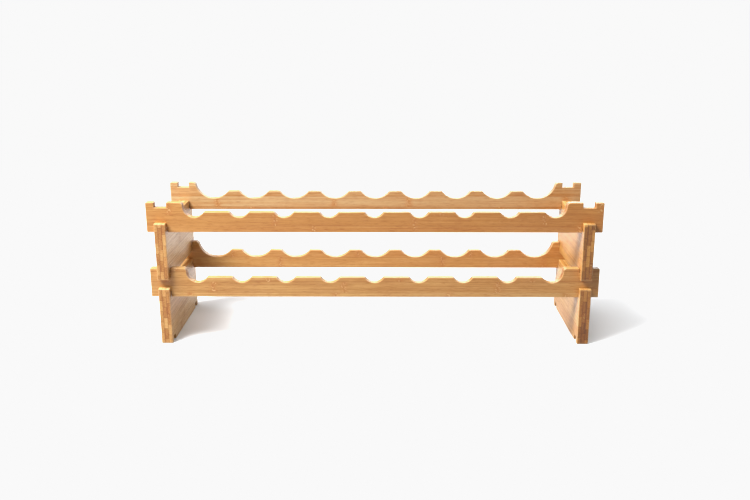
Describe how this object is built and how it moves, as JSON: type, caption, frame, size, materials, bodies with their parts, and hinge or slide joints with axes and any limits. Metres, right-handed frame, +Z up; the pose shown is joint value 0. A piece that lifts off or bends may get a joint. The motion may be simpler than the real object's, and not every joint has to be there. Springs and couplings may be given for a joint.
{
  "type": "stacking bottle rack",
  "caption": "Stacking rack of laminated bamboo boards with cross laps; scalloped front and rear rails carry wine bottles on their sides, necks to the front.",
  "frame": {"origin": "on the floor under the middle of the rack", "axes": "+X along the rails to the right, seen from the necks; +Y from the necks to the bottle bases; +Z up"},
  "size_m": [0.9, 0.245, 0.29],
  "materials": {
    "rail": "laminated bamboo, clear satin lacquer, grain along the rail",
    "end_board": "three-ply laminated bamboo, clear satin lacquer, grain front to back"
  },
  "bodies": {
    "lower_ends": {"lower_left_end": "end_board", "lower_right_end": "end_board"},
    "lower_rails": {"lower_front_rail": "rail", "lower_rear_rail": "rail"},
    "upper_ends": {"upper_left_end": "end_board", "upper_right_end": "end_board"},
    "upper_front": {"upper_front_rail": "rail"},
    "upper_rear": {"upper_rear_rail": "rail"}
  },
  "joints": [
    {"name": "lower_rails_lift", "type": "slide", "parent": "lower_ends", "child": "lower_rails", "axis": [0, 0, 1], "range_m": [0, 0.06]},
    {"name": "upper_ends_lift", "type": "slide", "parent": "lower_rails", "child": "upper_ends", "axis": [0, 0, 1], "range_m": [0, 0.06]},
    {"name": "upper_front_rail_lift", "type": "slide", "parent": "upper_ends", "child": "upper_front", "axis": [0, 0, 1], "range_m": [0, 0.06]},
    {"name": "upper_rear_rail_lift", "type": "slide", "parent": "upper_ends", "child": "upper_rear", "axis": [0, 0, 1], "range_m": [0, 0.06]}
  ]
}
